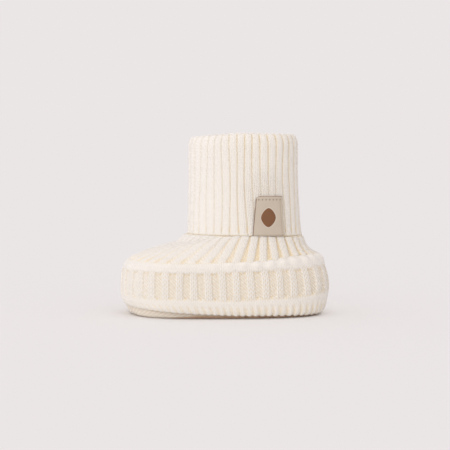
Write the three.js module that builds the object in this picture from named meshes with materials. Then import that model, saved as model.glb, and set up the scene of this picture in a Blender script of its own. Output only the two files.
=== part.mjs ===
// A knitted baby bootie: a hollow ribbed upper, its turned-down cuff, a padded sole, an insole and a sewn label.
// Millimetres. +X points to the toe, +Y to the outer side of a left foot, +Z up.
// The origin is on the floor, under the middle of the length.
import * as THREE from "three";

// Driving sizes of the foot
const bootieLength = 104; // heel to toe over the padded band
const ballWidth = 56;
const widestPlace = 18; // widest part of the ball, ahead of the middle
const bandHeight = 28; // floor to the top of the padded band, beside the ankle
const turnedEdge = 6; // how far the band's lower roll turns under the foot

// Driving sizes of the leg and its turned-down cuff
const hemHeight = 40; // floor to the cuff's hem
const collarHeight = 89.6; // floor to the top of the fold, beside the leg
const cuffLength = 54.4; // toe side to heel side, outside
const cuffWidth = 37;
const cuffPlace = -9.1; // middle of the leg, from the middle of the length
const hemFlare = 2; // how much the heel widens the cuff at its hem
const flareHeight = 32; // height over the hem in which the flare dies out
const hemDroop = 0.6; // how much lower the hem hangs at the heel
const foldDepth = 6; // height of the rounded fold over the end of the leg
const collarDroop = 1.8; // how much lower the fold lies on the toe side

// Knitting
const upperWall = 2.6;
const cuffWall = 2.4;
const ribCount = 38;
const ribDepth = 1.1;
const ribTurn = 0.18; // share of a rib that the pattern is turned off the centre line
const plainColumns = 60; // points round a level that shows no ribs

// Sole and insole
const soleThickness = 3.2;
const toeSpring = 2.8; // how much higher the sole's top lies at the toe
const insoleThickness = 1.5;
const insoleEdge = 0.4; // height of the insole's rounded upper edge
const insoleRound = 0.6; // how far in that edge goes
const plugTaper = 0.2; // the part inside the upper narrows this much towards its top
const topRun = { toe: 12, side: 8, heel: 8 }; // from the plug's edge to the flat of its top
// The rim under the turned edge, from the turned edge's own line inwards
const rimFlat = { toe: 4, side: 2.9, heel: 2.4 }; // to the edge of its flat underside
const rimBelly = { toe: 0.9, side: 1.2, heel: 1 }; // to its widest place, halfway up
const rimLip = { toe: 0.1, side: 0.8, heel: 0.6 }; // to its top

// Label
const labelHemWidth = 16;
const labelTopWidth = 13.8;
const labelHeight = 20;
const labelThickness = 0.8;
const labelPlace = 19.2; // its heel-side edge, from the middle of the cuff
const labelTuck = 5; // how far the label is folded up behind the hem
const clearance = 0.3;
const labelRoom = labelThickness + 2 * clearance; // kept between cuff and leg for the label

const halfLength = bootieLength / 2;
const halfBall = ballWidth / 2;
const mix = (from, to, share) => from + (to - from) * share;

// Outlines

// A level is one closed outline round the foot or the leg: two rounded halves that meet at the widest place.
// front, back and side are its reach in X and Y, and toe, middle and heel are its heights.
const outlineSteps = 240;
const heightPower = 1.4;

function outline(level) {
  const xs = [];
  const ys = [];
  const run = [];
  for (let i = 0; i <= outlineSteps; i++) {
    const turn = (Math.PI * i) / outlineSteps;
    const forward = Math.cos(turn);
    const round = forward > 0 ? level.toeRound : level.heelRound;
    const reach = forward > 0 ? level.front - level.widest : level.widest - level.back;
    xs.push(level.widest + reach * Math.sign(forward) * Math.abs(forward) ** (2 / round));
    ys.push(level.side * Math.abs(Math.sin(turn)) ** (2 / round));
    run.push(i ? run[i - 1] + Math.hypot(xs[i] - xs[i - 1], ys[i] - ys[i - 1]) : 0);
  }
  // The point at a share of the way round, from the toe by the outer side to the heel and back.
  return (share) => {
    const along = share - Math.floor(share);
    const outer = along <= 0.5;
    const wanted = 2 * (outer ? along : 1 - along) * run[outlineSteps];
    let i = 1;
    while (i < outlineSteps && run[i] < wanted) i++;
    const part = (wanted - run[i - 1]) / (run[i] - run[i - 1]);
    const x = mix(xs[i - 1], xs[i], part);
    const y = mix(ys[i - 1], ys[i], part);
    const end = x > cuffPlace ? level.front : level.back;
    const away = Math.min(1, Math.abs((x - cuffPlace) / (end - cuffPlace))) ** heightPower;
    const z = mix(level.middle, x > cuffPlace ? level.toe : level.heel, away);
    return new THREE.Vector3(x, outer ? y : -y, z);
  };
}

const footRounds = { toeRound: 2.0, heelRound: 2.9 };
const legRound = 2.2;

// The foot's outline, inset from the full length and width.
function footLevel({ toeIn, sideIn, heelIn, toe, middle, heel }) {
  return {
    front: halfLength - toeIn,
    back: heelIn - halfLength,
    side: halfBall - sideIn,
    widest: widestPlace,
    ...footRounds,
    toe,
    middle,
    heel,
  };
}

// The cuff's outline at a height, inset from its outer face.
function cuffLevel(height, inset) {
  const fade = Math.min(1, Math.max(0, 1 - (height - hemHeight) / flareHeight));
  const flare = hemFlare * fade ** 1.6;
  return {
    front: cuffPlace + cuffLength / 2 + flare / 4 - inset,
    back: cuffPlace - cuffLength / 2 - flare + inset,
    side: cuffWidth / 2 + flare / 2 - inset,
    widest: cuffPlace - flare / 3,
    toeRound: legRound,
    heelRound: legRound,
    toe: height,
    middle: height,
    heel: height - hemDroop * fade,
  };
}

// Rib styles: four points in each rib, as its place in the rib and its drop as a share of the rib depth.
const ribStyles = {
  fine: [[-0.25, 0], [0, 0.6], [0.25, 0], [0.5, 0.6]],
  plain: [[-0.25, 0], [0.25, 0], [0.33, 0], [0.67, 0]],
  window: [[-0.25, 0], [0.25, 0], [0.3, 1], [0.7, 1]],
  fan: [[-0.26, 0], [0.26, 0], [0.38, 1], [0.62, 1]],
  gathered: [[-0.3, 0], [0.3, 0], [0.45, 0.9], [0.55, 0.9]],
  cuff: [[-0.22, 0], [0.22, 0], [0.45, 1], [0.55, 1]],
  fold: [[-0.22, 0], [0.22, 0], [0.45, 0.6], [0.55, 0.6]],
};

// Levels of the upper

// The band, from the sewn edge up. Insets are shares of the turned edge, heights are shares of the band's.
const bandTable = [
  { toeIn: 0.9, sideIn: 0.63, heelIn: 1.17, toeUp: 0.185, midUp: 0.068, heelUp: 0.043, ribs: "fine" },
  { toeIn: 0.36, sideIn: 0.33, heelIn: 0.73, toeUp: 0.18, midUp: 0.066, heelUp: 0.043, ribs: "fine" },
  { toeIn: 0.22, sideIn: 0.15, heelIn: 0.36, toeUp: 0.22, midUp: 0.115, heelUp: 0.12, ribs: "fine" },
  { toeIn: 0.09, sideIn: 0.05, heelIn: 0.15, toeUp: 0.285, midUp: 0.22, heelUp: 0.28, ribs: "plain" },
  { toeIn: 0, sideIn: 0, heelIn: 0.02, toeUp: 0.354, midUp: 0.357, heelUp: 0.46, ribs: "plain" },
  { toeIn: 0, sideIn: 0, heelIn: 0, toeUp: 0.38, midUp: 0.385, heelUp: 0.49, ribs: "window" },
  { toeIn: 0.15, sideIn: 0.03, heelIn: 0.33, toeUp: 0.795, midUp: 0.814, heelUp: 0.843, ribs: "window" },
  { toeIn: 0.18, sideIn: 0.05, heelIn: 0.38, toeUp: 0.822, midUp: 0.843, heelUp: 0.871, ribs: "plain" },
  { toeIn: 0.3, sideIn: 0.09, heelIn: 0.56, toeUp: 0.89, midUp: 0.925, heelUp: 0.96, ribs: "plain" },
  { toeIn: 0.52, sideIn: 0.19, heelIn: 0.8, toeUp: 0.945, midUp: 0.98, heelUp: 1.03, ribs: "plain" },
];
const bandTop = { toeIn: 0.77, sideIn: 0.33, heelIn: 1.07, toeUp: 0.996, midUp: 1, heelUp: 1.08 };

// The vamp and ankle. Narrowing is the share of the way from the band's top to the leg, toe, side and heel,
// and rise the share of the way from the band's height to the hem's.
const vampTable = [
  { toeNarrow: 0.06, sideNarrow: 0.08, heelNarrow: 0.1, toeUp: 0.04, midUp: 0.1, heelUp: 0.22, ribs: "fan" },
  { toeNarrow: 0.24, sideNarrow: 0.32, heelNarrow: 0.333, toeUp: 0.29, midUp: 0.35, heelUp: 0.383, ribs: "fan" },
  { toeNarrow: 0.453, sideNarrow: 0.5, heelNarrow: 0.474, toeUp: 0.46, midUp: 0.533, heelUp: 0.525, ribs: "fan" },
  { toeNarrow: 0.687, sideNarrow: 0.66, heelNarrow: 0.588, toeUp: 0.59, midUp: 0.69, heelUp: 0.667, ribs: "gathered" },
  { toeNarrow: 0.84, sideNarrow: 0.84, heelNarrow: 0.702, toeUp: 0.78, midUp: 0.79, heelUp: 0.767, ribs: "gathered" },
  { toeNarrow: 0.92, sideNarrow: 0.94, heelNarrow: 0.8, toeUp: 0.945, midUp: 0.87, heelUp: 0.87, ribs: "gathered" },
  { toeNarrow: 0.994, sideNarrow: 0.99, heelNarrow: 0.91, toeUp: 1.04, midUp: 0.94, heelUp: 0.96 },
];

function bandLevel({ toeIn, sideIn, heelIn, toeUp, midUp, heelUp, ribs }) {
  return {
    ...footLevel({
      toeIn: toeIn * turnedEdge,
      sideIn: sideIn * turnedEdge,
      heelIn: heelIn * turnedEdge,
      toe: toeUp * bandHeight,
      middle: midUp * bandHeight,
      heel: heelUp * bandHeight,
    }),
    ribs,
  };
}

const legInset = cuffWall + clearance; // from the cuff's outer face to the leg
const ankleLevel = cuffLevel(hemHeight, legInset + labelRoom);

function vampLevel({ toeNarrow, sideNarrow, heelNarrow, toeUp, midUp, heelUp, ribs }) {
  const foot = bandLevel(bandTop);
  return {
    front: mix(foot.front, ankleLevel.front, toeNarrow),
    back: mix(foot.back, ankleLevel.back, heelNarrow),
    side: mix(foot.side, ankleLevel.side, sideNarrow),
    widest: mix(foot.widest, ankleLevel.widest, sideNarrow),
    toeRound: mix(footRounds.toeRound, legRound, sideNarrow),
    heelRound: mix(footRounds.heelRound, legRound, sideNarrow),
    toe: mix(bandHeight, hemHeight, toeUp),
    middle: mix(bandHeight, hemHeight, midUp),
    heel: mix(bandHeight, hemHeight, heelUp),
    ribs,
  };
}

const legTop = collarHeight - collarDroop / 2 - foldDepth;
const legLevels = [
  cuffLevel(mix(hemHeight, legTop, 0.12), legInset + labelRoom),
  cuffLevel(mix(hemHeight, legTop, 0.3), legInset + labelRoom / 4),
  cuffLevel(legTop, legInset),
];
const upperLevels = [...bandTable.map(bandLevel), ...vampTable.map(vampLevel), ...legLevels];
const hiddenTop = legLevels.length + 1; // levels inside the cuff, which stay plain

// Rings and solids

const step = 1e-3;

// The points of one level, moved off the outline along its normal. The levels beside it give the slope.
function ring(levels, i, columns, offset) {
  const here = outline(levels[i]);
  const below = outline(levels[Math.max(0, i - 1)]);
  const above = outline(levels[Math.min(levels.length - 1, i + 1)]);
  return columns.map(({ share, drop }) => {
    const around = here(share + step).sub(here(share - step));
    const up = above(share).sub(below(share));
    const out = around.cross(up).normalize();
    return { share, point: here(share).addScaledVector(out, offset - drop) };
  });
}

// Points evenly round a level, without ribs.
const evenly = Array.from({ length: plainColumns }, (_, i) => ({ share: i / plainColumns, drop: 0 }));

// Four points in each rib, dropped as its style says.
function ribbed(style) {
  const columns = [];
  for (let rib = 0; rib < ribCount; rib++)
    for (const [place, drop] of ribStyles[style])
      columns.push({ share: (rib + place + ribTurn) / ribCount, drop: drop * ribDepth });
  return columns;
}

// A closed surface over rings in order. A tube's last ring meets its first; otherwise both ends are capped.
function loft(rings, tube) {
  const vertices = [];
  const faces = [];
  const numbered = rings.map((points) =>
    points.map(({ share, point }) => ({ share, at: vertices.push(point) - 1 })),
  );
  const join = (lower, upper) => {
    const same = lower.length === upper.length;
    const shareOf = (points, i) => points[i % points.length].share + Math.floor(i / points.length);
    let i = 0;
    let j = 0;
    while (i < lower.length || j < upper.length) {
      const lowerNext = same ? i <= j : shareOf(lower, i + 1) <= shareOf(upper, j + 1);
      const stepLower = j >= upper.length || (i < lower.length && lowerNext);
      const a = lower[i % lower.length].at;
      const b = upper[j % upper.length].at;
      if (stepLower) faces.push(a, lower[++i % lower.length].at, b);
      else faces.push(a, upper[++j % upper.length].at, b);
    }
  };
  for (let i = 0; i + 1 < numbered.length; i++) join(numbered[i], numbered[i + 1]);
  if (tube) join(numbered[numbered.length - 1], numbered[0]);
  else
    for (const [end, facesDown] of [[numbered[0], true], [numbered[numbered.length - 1], false]]) {
      const centre = new THREE.Vector3();
      for (const { at } of end) centre.addScaledVector(vertices[at], 1 / end.length);
      const middle = vertices.push(centre) - 1;
      end.forEach(({ at }, k) => {
        const next = end[(k + 1) % end.length].at;
        faces.push(middle, facesDown ? next : at, facesDown ? at : next);
      });
    }
  return solid(vertices, faces);
}

// A closed sheet between two grids of points, each with as many rows and columns.
function slab(outer, inner) {
  const rows = outer.length;
  const columns = outer[0].length;
  const vertices = [...outer.flat(), ...inner.flat()];
  const faces = [];
  const at = (side, row, column) => side * rows * columns + row * columns + column;
  const quad = (a, b, c, d) => faces.push(a, b, c, a, c, d);
  for (let r = 0; r + 1 < rows; r++)
    for (let c = 0; c + 1 < columns; c++) {
      quad(at(0, r, c), at(0, r + 1, c), at(0, r + 1, c + 1), at(0, r, c + 1));
      quad(at(1, r, c), at(1, r, c + 1), at(1, r + 1, c + 1), at(1, r + 1, c));
    }
  for (let r = 0; r + 1 < rows; r++) {
    quad(at(0, r, 0), at(1, r, 0), at(1, r + 1, 0), at(0, r + 1, 0));
    quad(at(0, r, columns - 1), at(0, r + 1, columns - 1), at(1, r + 1, columns - 1), at(1, r, columns - 1));
  }
  for (let c = 0; c + 1 < columns; c++) {
    quad(at(0, 0, c), at(0, 0, c + 1), at(1, 0, c + 1), at(1, 0, c));
    quad(at(0, rows - 1, c), at(1, rows - 1, c), at(1, rows - 1, c + 1), at(0, rows - 1, c + 1));
  }
  return solid(vertices, faces);
}

function solid(vertices, faces) {
  const geometry = new THREE.BufferGeometry().setFromPoints(vertices);
  geometry.setIndex(faces);
  geometry.computeVertexNormals();
  return geometry;
}

// Pieces

// The upper: ribbed outside, plain inside, open at the collar and underneath.
function upperShape() {
  const shown = upperLevels.length - hiddenTop;
  const outside = upperLevels.map((level, i) =>
    ring(upperLevels, i, i < shown ? ribbed(level.ribs) : evenly, 0),
  );
  const inside = upperLevels
    .map((_, i) => i)
    .filter((i) => i % 2 === 0 || i === upperLevels.length - 1)
    .reverse()
    .map((i) => ring(upperLevels, i, evenly, -upperWall));
  return loft([...outside, ...inside], true);
}

// The cuff: the leg's fabric folded over its end and turned down outside it.
function cuffShape() {
  const foldHalf = (cuffWall + clearance + upperWall) / 2;
  const foldLevel = (rise, inset) => {
    const level = cuffLevel(mix(legTop, collarHeight, rise), inset);
    const droop = collarDroop * rise;
    return { ...level, toe: level.toe - droop, heel: level.heel - droop / 4 };
  };
  const skirt = [0.03, 0.2, 0.55, 1].map((share) => cuffLevel(mix(hemHeight, legTop, share), 0));
  const hem = cuffLevel(hemHeight, 0.35 * cuffWall);
  const fold = [
    foldLevel(0.6, 0.2 * foldHalf),
    foldLevel(0.92, 0.6 * foldHalf),
    foldLevel(0.97, 1.25 * foldHalf),
    foldLevel(0.5, 1.92 * foldHalf),
  ];
  const outer = [hem, ...skirt, ...fold];
  const lip = [
    cuffLevel(legTop + clearance, 2 * foldHalf),
    cuffLevel(legTop + clearance, cuffWall),
  ];
  const lining = [0.55, 0.25, 0.01].map((share) => cuffLevel(mix(hemHeight, legTop, share), cuffWall));
  return loft(
    [
      ...outer.map((_, i) => ring(outer, i, ribbed(i <= skirt.length ? "cuff" : "fold"), 0)),
      ...[...lip, ...lining].map((_, i, inner) => ring(inner, i, evenly, 0)),
    ],
    true,
  );
}

// The sole: a padded plate that fills the upper's lower opening, with a rim under the turned edge.
const soleTop = { toe: soleThickness + toeSpring, middle: soleThickness, heel: soleThickness };
const tuck = bandTable[0];
const under = bandTable[1];

// Insets of a row of the band's table in millimetres, each with more added to it.
const insetsOf = (row, more) => ({
  toe: row.toeIn * turnedEdge + more,
  side: row.sideIn * turnedEdge + more,
  heel: row.heelIn * turnedEdge + more,
});
const further = (inset, by) => ({
  toe: inset.toe + by.toe,
  side: inset.side + by.side,
  heel: inset.heel + by.heel,
});
const evenlyIn = (by) => ({ toe: by, side: by, heel: by });

function soleLevel(inset, heights) {
  return footLevel({ toeIn: inset.toe, sideIn: inset.side, heelIn: inset.heel, ...heights });
}

function soleShape() {
  const rimHeights = {
    toe: under.toeUp * bandHeight - clearance,
    middle: under.midUp * bandHeight - clearance,
    heel: under.heelUp * bandHeight - clearance,
  };
  const half = { toe: rimHeights.toe * 0.4, middle: rimHeights.middle * 0.5, heel: rimHeights.heel * 0.5 };
  const rim = insetsOf(under, 0);
  const plug = insetsOf(tuck, clearance);
  const levels = [
    soleLevel(further(rim, rimFlat), { toe: 0, middle: 0, heel: 0 }),
    soleLevel(further(rim, rimBelly), half),
    soleLevel(further(rim, rimLip), rimHeights),
    soleLevel(plug, rimHeights),
    soleLevel(further(plug, evenlyIn(plugTaper)), soleTop),
    soleLevel(further(plug, topRun), { ...soleTop, toe: soleThickness }),
  ];
  return loft(levels.map((_, i) => ring(levels, i, evenly, 0)), false);
}

// The insole: a thin pad that lies on the sole, inside the upper.
function insoleShape() {
  const edge = insetsOf(tuck, 2 * clearance);
  const raised = (by, toe) => ({ toe: toe + by, middle: soleTop.middle + by, heel: soleTop.heel + by });
  const bottom = clearance;
  const top = clearance + insoleThickness;
  const flatFrom = further(edge, topRun);
  const levels = [
    soleLevel(further(flatFrom, evenlyIn(-clearance)), raised(bottom, soleThickness)),
    soleLevel(edge, raised(bottom, soleTop.toe)),
    soleLevel(edge, raised(top - insoleEdge, soleTop.toe)),
    soleLevel(further(edge, evenlyIn(insoleRound)), raised(top, soleTop.toe)),
    soleLevel(flatFrom, raised(top, soleThickness)),
  ];
  return loft(levels.map((_, i) => ring(levels, i, evenly, 0)), false);
}

// The label: a strip folded round the cuff's hem, sewn to its outer side. Its toe-side edge leans.
const labelStations = 8;

function labelShape() {
  const top = hemHeight + labelHeight;
  const place = outline(cuffLevel(hemHeight, 0));
  let heelEdge = 0;
  while (place(heelEdge).x > cuffPlace - labelPlace) heelEdge += step;
  const round = place(heelEdge).distanceTo(place(heelEdge - step)) / step;
  const grid = (offset) => {
    const behind = -(cuffWall + offset);
    const below = hemHeight - offset;
    const path = [
      [offset, top],
      [offset, mix(hemHeight, top, 0.66)],
      [offset, mix(hemHeight, top, 0.33)],
      [offset, hemHeight],
      [offset * 0.7, below + 0.3 * offset],
      [0, below],
      [-cuffWall, below],
      [behind + 0.3 * offset, below + 0.3 * offset],
      [behind, hemHeight],
      [behind, hemHeight + labelTuck],
    ];
    return path.map(([out, height]) => {
      const risen = Math.max(0, height - hemHeight) / labelHeight;
      const width = mix(labelHemWidth, labelTopWidth, out > 0 ? risen : 0);
      const here = outline(cuffLevel(height, 0));
      return Array.from({ length: labelStations + 1 }, (_, i) => {
        const share = heelEdge - (width * (1 - i / labelStations)) / round;
        const around = here(share + step).sub(here(share - step)).setZ(0).normalize();
        const normal = new THREE.Vector3(around.y, -around.x, 0);
        return here(share).addScaledVector(normal, out);
      });
    });
  };
  return slab(grid(clearance + labelThickness), grid(clearance));
}

// Assembly

const knit = { color: 0xf3ead9, roughness: 0.95, metalness: 0 };
const soleKnit = { color: 0xe9dcc6, roughness: 0.95, metalness: 0 };
const hide = { color: 0xc9bba6, roughness: 0.6, metalness: 0 };

const bootie = new THREE.Group();
const pieces = [
  ["upper", upperShape(), knit],
  ["cuff", cuffShape(), knit],
  ["sole", soleShape(), soleKnit],
  ["insole", insoleShape(), soleKnit],
  ["label", labelShape(), hide],
];
for (const [name, geometry, finish] of pieces) {
  const piece = new THREE.Mesh(geometry, new THREE.MeshStandardMaterial(finish));
  piece.name = name;
  bootie.add(piece);
}

export default bootie;
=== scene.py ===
import bpy
import math
import numpy as np
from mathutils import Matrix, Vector


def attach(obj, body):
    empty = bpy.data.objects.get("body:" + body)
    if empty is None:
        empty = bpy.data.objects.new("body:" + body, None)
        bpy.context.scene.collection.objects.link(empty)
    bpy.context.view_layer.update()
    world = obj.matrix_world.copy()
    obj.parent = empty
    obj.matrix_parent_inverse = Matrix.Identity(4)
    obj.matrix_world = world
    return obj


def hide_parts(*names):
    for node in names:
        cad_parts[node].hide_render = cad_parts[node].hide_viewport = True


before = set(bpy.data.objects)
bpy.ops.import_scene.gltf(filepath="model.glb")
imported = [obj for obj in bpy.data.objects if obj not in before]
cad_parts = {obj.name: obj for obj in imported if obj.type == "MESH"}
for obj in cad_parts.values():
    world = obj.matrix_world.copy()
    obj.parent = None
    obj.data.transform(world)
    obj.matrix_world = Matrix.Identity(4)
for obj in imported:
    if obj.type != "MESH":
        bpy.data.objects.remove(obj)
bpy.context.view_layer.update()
scene = bpy.context.scene
scene.view_settings.view_transform = "Standard"
mm = 0.001
print("frame loaded:", sorted(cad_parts))


# camera, light and floor

studio = dict(
    cameraAway=0.76,  # on the label's side
    cameraHeight=0.1,
    aim=(-0.0001, 0, 0.0439),
    lens=122.4, seenFrom=0.05, seenTo=400,
    skyColour=(0.831, 0.791, 0.791),
    keyPower=1.08,
    keyFrom=(0.46, 0.74, 0.42),
    keySoftness=50,  # degrees
    floorColour=(0.999, 0.999, 0.999),
    floorStart=0.03,  # radius of the floor's first ring
    floorReach=90, floorRings=14, floorSpokes=96,
)


def setStudio():
    # The camera looks along -Y, tipped down at the aim. An even sky lights all sides, and a wide sun lights
    # the bootie's toe side. Returns the sun.
    camera = bpy.data.objects.new("camera", bpy.data.cameras.new("camera"))
    scene.collection.objects.link(camera)
    camera.location = (studio["aim"][0], studio["cameraAway"], studio["cameraHeight"])
    look = Vector(studio["aim"]) - camera.location
    camera.rotation_euler = look.to_track_quat("-Z", "Y").to_euler()
    camera.data.lens = studio["lens"]
    camera.data.clip_start = studio["seenFrom"]
    camera.data.clip_end = studio["seenTo"]
    scene.camera = camera
    sun = bpy.data.objects.new("keyLight", bpy.data.lights.new("keyLight", "SUN"))
    scene.collection.objects.link(sun)
    sun.rotation_euler = (-Vector(studio["keyFrom"])).to_track_quat("-Z", "Y").to_euler()
    sun.data.energy = studio["keyPower"]
    sun.data.angle = math.radians(studio["keySoftness"])
    world = bpy.data.worlds.new("sky")
    world.use_nodes = True
    sky = world.node_tree.nodes["Background"]
    sky.inputs["Color"].default_value = (*studio["skyColour"], 1)
    scene.world = world
    return sun


# surfaces on a grid

outlineSteps = 481  # points of half an outline


def smooth(value, width=1):
    # t is the value over the width: 0 below 0, 1 above 1, and 3t^2 - 2t^3 between.
    t = np.clip(value / width, 0, 1)
    return t * t * (3 - 2 * t)


def hump(value, width=1):
    # A bell: e to the minus t squared, t being the value over the width.
    t = value / width
    return np.exp(-t * t)


def wave(turns):
    # A sine, counted in whole turns.
    return np.sin(2 * np.pi * turns)


def crest(turns):
    # A cosine, counted in whole turns.
    return np.cos(2 * np.pi * turns)


def mix(a, b, share):
    # a at share 0, b at share 1.
    return a + (b - a) * share


def fairCurve(knots, values, at):
    # A monotone cubic: each knot's slope is the weighted harmonic mean of its neighbours' slopes.
    gap = np.diff(knots)
    rise = np.diff(values) / gap
    slope = np.zeros(len(values))
    slope[0], slope[-1] = rise[0], rise[-1]
    before, after = rise[:-1], rise[1:]
    same = before * after > 0
    w1, w2 = 2 * gap[1:] + gap[:-1], gap[1:] + 2 * gap[:-1]
    safe = np.where(same, w1 * after + w2 * before, 1)
    slope[1:-1] = np.where(same, (w1 + w2) * before * after / safe, 0)
    i = np.clip(np.searchsorted(knots, at, side="right") - 1, 0, len(gap) - 1)
    h = gap[i]
    t = (at - knots[i]) / h
    return ((1 + 2 * t) * (1 - t) ** 2 * values[i] + t * (1 - t) ** 2 * h * slope[i]
            + t * t * (3 - 2 * t) * values[i + 1] + t * t * (t - 1) * h * slope[i + 1])


def roundOutlines(level, share):
    # One row for each level: two superellipse halves meet at the widest place, x = widest + reach * cos^(2/n),
    # y = side * sin^(2/n), read at shares of the way round from the toe. The height goes from the middle's to
    # the end's with the distance from the ankle to the spring's power.
    turn = np.linspace(0, np.pi, outlineSteps)
    forward = np.cos(turn)[None, :]
    column = {key: np.asarray(value, float)[:, None] for key, value in level.items()}
    power = 2 / np.where(forward > 0, column["toeRound"], column["heelRound"])
    reach = np.where(forward > 0, column["front"] - column["widest"], column["widest"] - column["back"])
    x = column["widest"] + reach * np.sign(forward) * np.abs(forward) ** power
    y = column["side"] * np.sin(turn)[None, :].clip(0) ** power
    steps = np.hypot(np.diff(x, axis=1, prepend=x[:, :1]), np.diff(y, axis=1, prepend=y[:, :1]))
    run = np.cumsum(steps, axis=1)
    along = np.broadcast_to(np.mod(share, 1), (len(x), np.shape(share)[-1]))
    near = along <= 0.5
    wanted = 2 * np.where(near, along, 1 - along) * run[:, -1:]
    px = np.stack([np.interp(w, r, v) for w, r, v in zip(wanted, run, x)])
    py = np.stack([np.interp(w, r, v) for w, r, v in zip(wanted, run, y)])
    ahead = px > last["anklePlace"]
    end = np.where(ahead, column["front"], column["back"])
    away = np.clip(np.abs((px - last["anklePlace"]) / (end - last["anklePlace"])), 0, 1) ** last["springPower"]
    pz = mix(column["middle"], np.where(ahead, column["toe"], column["heel"]), away)
    return np.stack([px, np.where(near, py, -py), pz], axis=-1)


def normalsOf(points, tube=False):
    # The cross product of the step round and the step up, of length one.
    around = np.roll(points, -1, axis=1) - np.roll(points, 1, axis=1)
    if tube:
        up = np.roll(points, -1, axis=0) - np.roll(points, 1, axis=0)
    else:
        up = np.gradient(points, axis=0)
    normal = np.cross(around, up)
    return normal / np.linalg.norm(normal, axis=-1, keepdims=True).clip(1e-9)


def lengthUp(points):
    # Distance along each column from its first row.
    steps = np.linalg.norm(np.diff(points, axis=0), axis=-1)
    return np.vstack([np.zeros(points.shape[1]), np.cumsum(steps, axis=0)])


def turnOne(grid):
    # The grid with its columns moved on by one, the last one meeting the first.
    return np.roll(grid, -1, axis=1)


def ringQuads(lower, upper, inwards=False):
    # Quads between each ring of point numbers and the next, or the same wound the other way.
    second, fourth = (upper, turnOne(lower)) if inwards else (turnOne(lower), upper)
    return np.stack([lower, second, turnOne(upper), fourth], axis=-1).reshape(-1, 4)


def capQuads(ring, middle, facesUp):
    # Quads from a middle point to a ring, two steps of the ring each, so that none is a triangle.
    a, b, c = ring[0::2], ring[1::2], np.roll(ring, -2)[0::2]
    centre = np.full(len(a), middle)
    return np.stack([centre, a, b, c] if facesUp else [centre, c, b, a], -1)


def finishMesh(name, vertices, faces, uv=None, marks=None):
    # Vertices in millimetres, quads, one UV pair for each corner and one mark for each vertex.
    mesh = bpy.data.meshes.new(name)
    mesh.from_pydata((np.asarray(vertices) * mm).tolist(), [], np.asarray(faces).tolist())
    mesh.polygons.foreach_set("use_smooth", np.ones(len(mesh.polygons), bool))
    if uv is not None:
        mesh.uv_layers.new(name="knitMap").data.foreach_set("uv", np.asarray(uv, np.float32).ravel())
    for key, values in (marks or {}).items():
        mark = mesh.attributes.new(key, "FLOAT", "POINT")
        mark.data.foreach_set("value", np.asarray(values, np.float32).ravel())
    mesh.update()
    piece = bpy.data.objects.new(name, mesh)
    scene.collection.objects.link(piece)
    return piece


def ringPiece(name, points, wale, course, marks, waleTotal, capPitch=None):
    # Rows of closed rings joined into quads, with their stitch columns and rows as the UV map. A tube's last
    # row meets its first. With a cap pitch both ends are closed, by stitches of that size laid flat.
    rows, columns = points.shape[:2]
    index = np.arange(rows * columns).reshape(rows, columns)
    loop = index
    if capPitch is None:
        loop = np.vstack([index, index[:1]])
        wale, course = np.vstack([wale, wale[:1]]), np.vstack([course, course[-1:] + 1])
    faces = ringQuads(loop[:-1], loop[1:])
    here = np.stack([wale, course], -1)
    onward = np.stack([np.hstack([wale[:, 1:], wale[:, :1] + waleTotal]), turnOne(course)], -1)
    uv = np.stack([here[:-1], onward[:-1], onward[1:], here[1:]], axis=2).reshape(-1, 2)
    vertices = points.reshape(-1, 3)
    marks = {key: np.broadcast_to(value, (rows, columns)).ravel() for key, value in marks.items()}
    if capPitch is not None:
        middle = len(vertices)
        vertices = np.vstack([vertices, points[0].mean(0), points[-1].mean(0)])
        caps = np.vstack([capQuads(index[0], middle, False), capQuads(index[-1], middle + 1, True)])
        faces = np.vstack([faces, caps])
        uv = np.vstack([uv, vertices[caps.ravel()][:, :2] / capPitch])
        marks = {key: np.append(value, [value[0], value[-1]]) for key, value in marks.items()}
    return finishMesh(name, vertices, faces, uv, marks)


def makeFloor():
    # Flat rings whose radius grows by the same factor each time, out to the horizon.
    rings, spokes = studio["floorRings"], studio["floorSpokes"]
    radius = np.geomspace(studio["floorStart"], studio["floorReach"], rings)[:, None] / mm
    share = np.arange(spokes) / spokes
    points = np.stack([radius * crest(share), radius * wave(share), np.zeros((rings, spokes))], -1)
    index = np.arange(rings * spokes).reshape(rings, spokes)
    centre = capQuads(index[0], rings * spokes, True)
    faces = np.vstack([ringQuads(index[:-1], index[1:], inwards=True), centre])
    floor = finishMesh("studioFloor", np.vstack([points.reshape(-1, 3), [[0, 0, 0]]]), faces)
    floor.data.materials.append(newMaterial("paleFloor", 1, 0, {"Base Color": (*studio["floorColour"], 1)}))
    return floor


def shadeFloor(sun, floor):
    # The floor is left out of what the sun lights, so the sky alone makes it as bright as the backdrop.
    unlit = bpy.data.collections.new("unlitByKey")
    unlit.objects.link(floor)
    sun.light_linking.receiver_collection = unlit
    unlit.collection_objects[0].light_linking.link_state = "EXCLUDE"


# the last: levels round the foot, the leg and the cuff

last = dict(
    length=104, ballWidth=56,
    widestPlace=18,  # forward of the middle
    anklePlace=-9.1,  # of the leg's middle
    toeRound=2.0,  # powers of the superellipses, 2 for an ellipse
    heelRound=2.9, legRound=2.2,
    springPower=1.4,  # how late a level climbs towards toe or heel
    bandHeight=28, turnedEdge=6, hemHeight=40, legTop=82.7,
    collarHeight=89.6, cuffLength=54.4, cuffWidth=37, hemFlare=2,
    flareHeight=32, flarePower=1.6, hemDroop=0.6, collarDroop=1.8,
    hiddenLegAt=(41.5, 45.0),  # levels of the leg that the cuff hides
    ribs=38,
    ribTurn=0.18,  # of a rib
    upperWall=2.6, cuffWall=2.4, room=0.3, labelRoom=1.4,
)
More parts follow.
